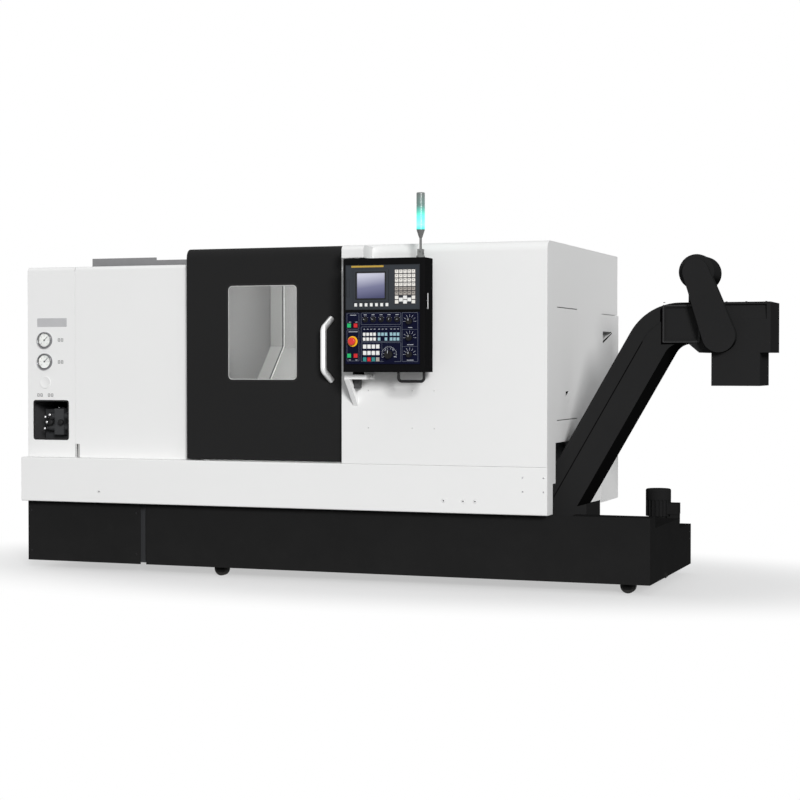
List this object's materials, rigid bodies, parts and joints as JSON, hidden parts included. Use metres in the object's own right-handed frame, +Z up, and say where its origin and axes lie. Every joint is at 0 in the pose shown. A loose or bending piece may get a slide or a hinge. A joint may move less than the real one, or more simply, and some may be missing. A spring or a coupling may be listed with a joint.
{
  "type": "cnc turning lathe",
  "caption": "Enclosed slant-bed turning lathe with a sliding windowed door, swinging control pendant, signal lamp, coolant tank on castors and an inclined chip conveyor.",
  "frame": {"origin": "on the floor, under the middle of the bounding box", "axes": "+X to the right along the spindle, +Y from the front into the machine, +Z up"},
  "size_m": [4.184, 1.8602, 2.058],
  "materials": {
    "white_paint": "satin",
    "black_paint": "satin",
    "casting_paint": "painted matt",
    "liner_steel": "satin",
    "machined_steel": "machined",
    "safety_glass": "clear",
    "handle_aluminium": "satin",
    "grey_plastic": "matt",
    "black_plastic": "satin",
    "navy_panel": "matt",
    "red_plastic": "gloss",
    "lamp_plastic": "translucent",
    "wheel_rubber": "matt"
  },
  "bodies": {
    "machine": {"skirt": "white_paint", "left_end_cover": "white_paint", "headstock_cover": "white_paint", "right_cover": "white_paint", "roof_cover": "white_paint", "rear_cover": "white_paint", "right_side_panel": "white_paint", "side_access_panel": "white_paint", "pendant_upper_arm": "white_paint", "pendant_lower_arm": "white_paint", "electrical_cabinet": "white_paint", "base_cover": "black_paint", "coolant_tank": "black_paint", "conveyor_casing": "black_paint", "chain_case": "black_paint", "conveyor_motor": "black_paint", "coolant_pump": "black_paint", "conveyor_cover": "black_paint", "bed": "casting_paint", "headstock": "casting_paint", "hydraulic_unit": "casting_paint", "chamber_left_wall": "liner_steel", "chamber_right_wall": "liner_steel", "chip_guides": "liner_steel", "bed_feet": "machined_steel", "conveyor_belt": "machined_steel", "door_rail": "machined_steel", "pressure_gauges": "black_plastic", "drive_rack": "grey_plastic"},
    "door": {"door_panel": "black_paint", "door_window": "safety_glass", "door_handle": "handle_aluminium"},
    "pendant": {"pendant_box": "black_paint", "display_unit": "grey_plastic", "operator_panel": "navy_panel", "pendant_handle": "black_plastic"},
    "lamp": {"lamp_pole": "grey_plastic", "lamp_lens": "lamp_plastic"},
    "estop": {"estop_button": "red_plastic"},
    "dial": {"override_dial": "black_plastic"},
    "work_spindle": {"spindle": "machined_steel", "chuck": "machined_steel"},
    "carriage": {"saddle": "casting_paint", "way_cover_left_moving": "liner_steel", "way_cover_right": "liner_steel"},
    "cross": {"cross_slide": "casting_paint", "turret_housing": "casting_paint"},
    "turret": {"turret_disc": "machined_steel"},
    "belt_drive": {"conveyor_shaft": "machined_steel"},
    "rear_door": {"cabinet_door": "white_paint"},
    "knob_1": {"rotary_knob_1": "black_plastic"},
    "knob_2": {"rotary_knob_2": "black_plastic"},
    "knob_3": {"rotary_knob_3": "black_plastic"},
    "jaw_1": {"chuck_jaw_1": "machined_steel"},
    "jaw_2": {"chuck_jaw_2": "machined_steel"},
    "jaw_3": {"chuck_jaw_3": "machined_steel"},
    "wheel_1": {"castor_wheel_1": "wheel_rubber"},
    "wheel_2": {"castor_wheel_2": "wheel_rubber"},
    "wheel_3": {"castor_wheel_3": "wheel_rubber"},
    "wheel_4": {"castor_wheel_4": "wheel_rubber"}
  },
  "joints": [
    {"name": "door_slide", "type": "slide", "parent": "machine", "child": "door", "axis": [1, 0, 0], "range_m": [-0.8, 0]},
    {"name": "pendant_swing", "type": "hinge", "parent": "machine", "child": "pendant", "pos_m": [0.007, -0.79235, 1.133], "axis": [0, 0, -1], "range_deg": [0, 90]},
    {"name": "lamp_fold", "type": "hinge", "parent": "pendant", "child": "lamp", "pos_m": [0.365, -0.83035, 1.753], "axis": [0, 1, 0], "range_deg": [0, 90]},
    {"name": "estop_push", "type": "slide", "parent": "pendant", "child": "estop", "axis": [0, 1, 0], "range_m": [0, 0.006], "stiffness_N_per_m": 600},
    {"name": "override_turn", "type": "hinge", "parent": "pendant", "child": "dial", "pos_m": [0.219, -0.90335, 1.224], "axis": [0, 1, 0], "range_deg": [-135, 135]},
    {"name": "knob_1_turn", "type": "hinge", "parent": "pendant", "child": "knob_1", "pos_m": [0.331, -0.90335, 1.224], "axis": [0, 1, 0], "range_deg": [-120, 120]},
    {"name": "knob_2_turn", "type": "hinge", "parent": "pendant", "child": "knob_2", "pos_m": [0.331, -0.90335, 1.31], "axis": [0, 1, 0], "range_deg": [-120, 120]},
    {"name": "knob_3_turn", "type": "hinge", "parent": "pendant", "child": "knob_3", "pos_m": [0.331, -0.90335, 1.394], "axis": [0, 1, 0], "range_deg": [-120, 120]},
    {"name": "spindle_spin", "type": "hinge", "parent": "machine", "child": "work_spindle", "pos_m": [-0.992, -0.29735, 0.96], "axis": [1, 0, 0], "continuous": true},
    {"name": "jaw_1_slide", "type": "slide", "parent": "work_spindle", "child": "jaw_1", "axis": [0, 0, 1], "range_m": [-0.006, 0]},
    {"name": "jaw_2_slide", "type": "slide", "parent": "work_spindle", "child": "jaw_2", "axis": [0, -0.866, -0.5], "range_m": [-0.006, 0]},
    {"name": "jaw_3_slide", "type": "slide", "parent": "work_spindle", "child": "jaw_3", "axis": [0, 0.866, -0.5], "range_m": [-0.006, 0]},
    {"name": "carriage_feed", "type": "slide", "parent": "machine", "child": "carriage", "axis": [1, 0, 0], "range_m": [-0.478, 0]},
    {"name": "cross_feed", "type": "slide", "parent": "carriage", "child": "cross", "axis": [0, 0.7071, 0.7071], "range_m": [-0.2, 0]},
    {"name": "turret_index", "type": "hinge", "parent": "cross", "child": "turret", "pos_m": [-0.027, -0.01804, 1.23931], "axis": [1, 0, 0], "continuous": true},
    {"name": "belt_drive_turn", "type": "hinge", "parent": "machine", "child": "belt_drive", "pos_m": [1.84, -0.43535, 1.345], "axis": [0, 1, 0], "continuous": true},
    {"name": "cabinet_door_swing", "type": "hinge", "parent": "machine", "child": "rear_door", "pos_m": [0.2365, 0.90215, 0.383], "axis": [0, 0, 1], "range_deg": [0, 110]},
    {"name": "wheel_1_roll", "type": "hinge", "parent": "machine", "child": "wheel_1", "pos_m": [-0.911, -0.52735, 0.04], "axis": [0, 1, 0], "continuous": true},
    {"name": "wheel_2_roll", "type": "hinge", "parent": "machine", "child": "wheel_2", "pos_m": [1.389, -0.52735, 0.04], "axis": [0, 1, 0], "continuous": true},
    {"name": "wheel_3_roll", "type": "hinge", "parent": "machine", "child": "wheel_3", "pos_m": [-0.911, -0.13735, 0.04], "axis": [0, 1, 0], "continuous": true},
    {"name": "wheel_4_roll", "type": "hinge", "parent": "machine", "child": "wheel_4", "pos_m": [1.389, 0.36265, 0.04], "axis": [0, 1, 0], "continuous": true}
  ],
  "couplings": [
    {"joint": "jaw_2_slide", "follows": "jaw_1_slide", "ratio": 1},
    {"joint": "jaw_3_slide", "follows": "jaw_1_slide", "ratio": 1}
  ]
}
